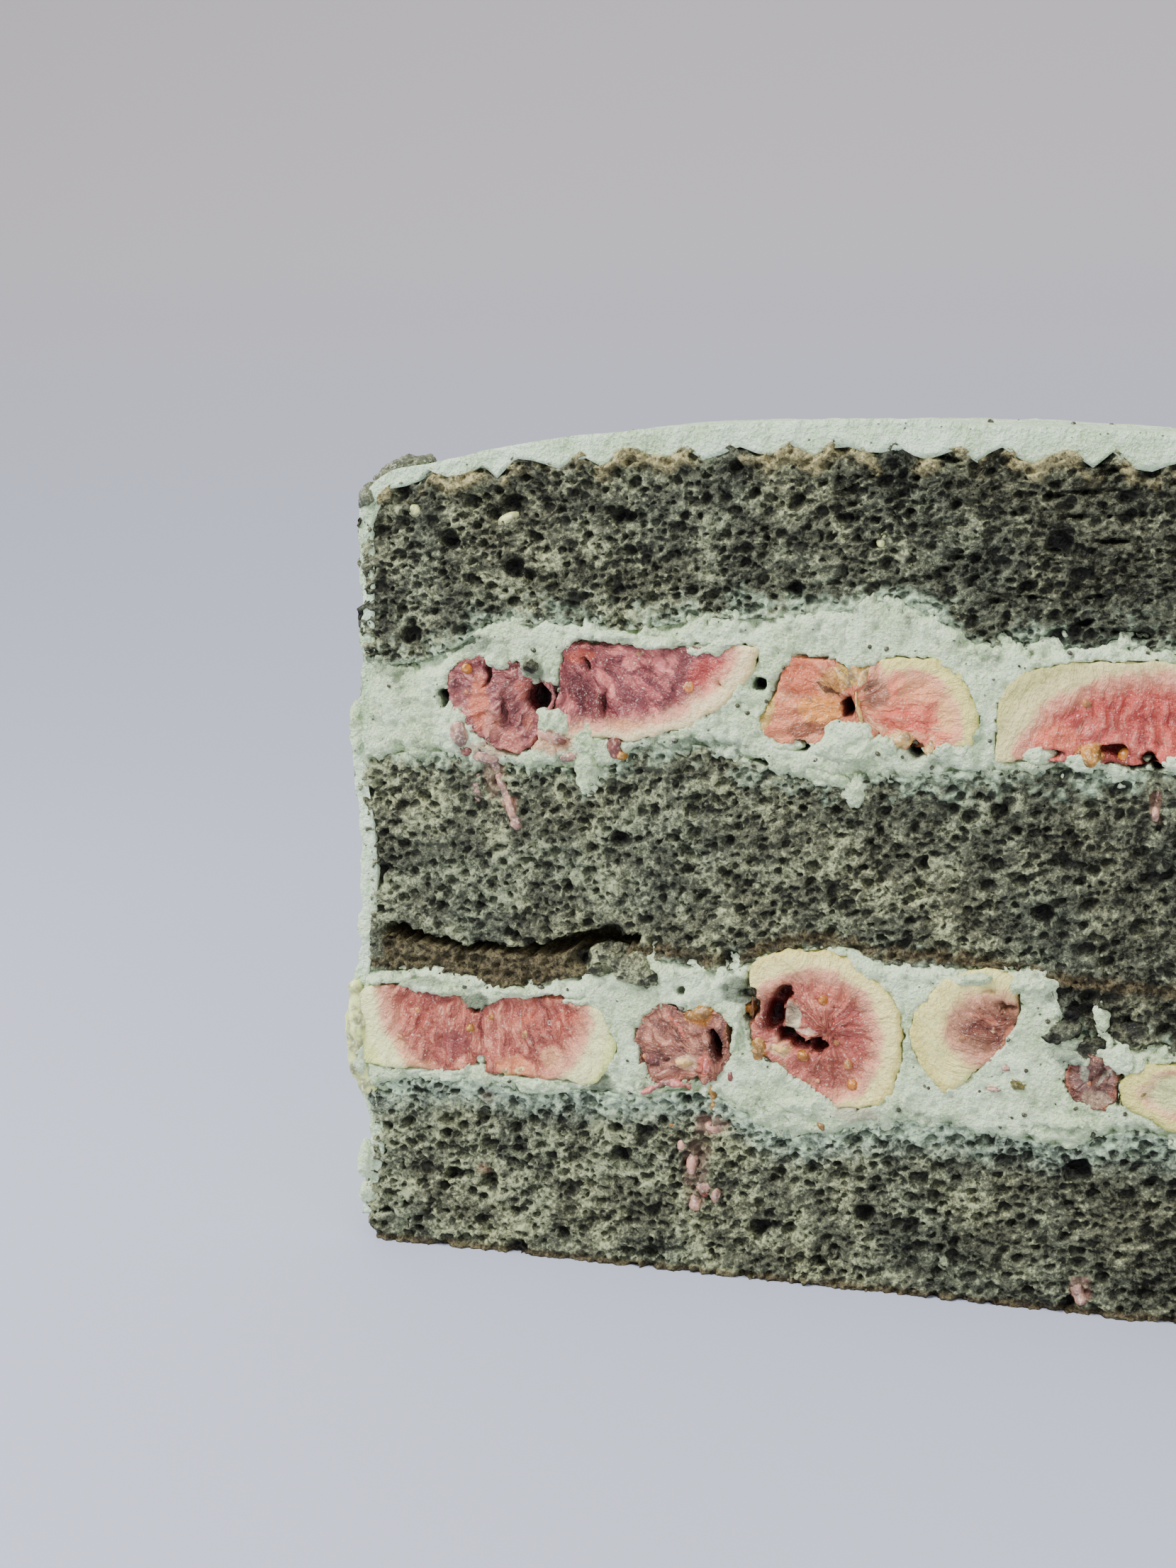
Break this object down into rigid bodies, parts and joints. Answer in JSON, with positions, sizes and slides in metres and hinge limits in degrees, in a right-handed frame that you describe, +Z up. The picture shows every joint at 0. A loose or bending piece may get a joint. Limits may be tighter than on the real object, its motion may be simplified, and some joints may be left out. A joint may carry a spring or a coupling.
{
  "type": "fig cake slice",
  "caption": "Tall slice of grey-green layer cake with cream fillings, cut fresh figs and a pale green cream coat, standing upright on its browned base.",
  "frame": {"origin": "middle of the underside, at the centre of the footprint, on the surface that the slice stands on", "axes": "+X along the front cut to the right as seen from the front, +Y from the front cut into the slice, +Z up"},
  "size_m": [0.1232, 0.0518, 0.0957],
  "materials": {
    "sponge": "open matte crumb",
    "cream": "soft satin cream",
    "frosting": "soft satin cream with knife strokes",
    "fig": "wet cut fruit"
  },
  "bodies": {
    "root": {"sponge_bottom": "sponge", "sponge_middle": "sponge", "sponge_top": "sponge", "filling_lower": "cream", "filling_upper": "cream", "frosting": "frosting", "fig_upper_front_1": "fig", "fig_upper_front_2": "fig", "fig_upper_front_3": "fig", "fig_upper_front_4": "fig", "fig_upper_front_5": "fig", "fig_lower_front_1": "fig", "fig_lower_front_2": "fig", "fig_lower_front_3": "fig", "fig_lower_front_4": "fig", "fig_lower_front_5": "fig", "fig_lower_front_6": "fig", "fig_lower_front_7": "fig", "fig_upper_back_1": "fig", "fig_upper_back_2": "fig", "fig_upper_back_3": "fig", "fig_upper_back_4": "fig", "fig_lower_back_1": "fig", "fig_lower_back_2": "fig", "fig_lower_back_3": "fig", "fig_lower_back_4": "fig", "fig_lower_back_5": "fig"}
  },
  "joints": []
}
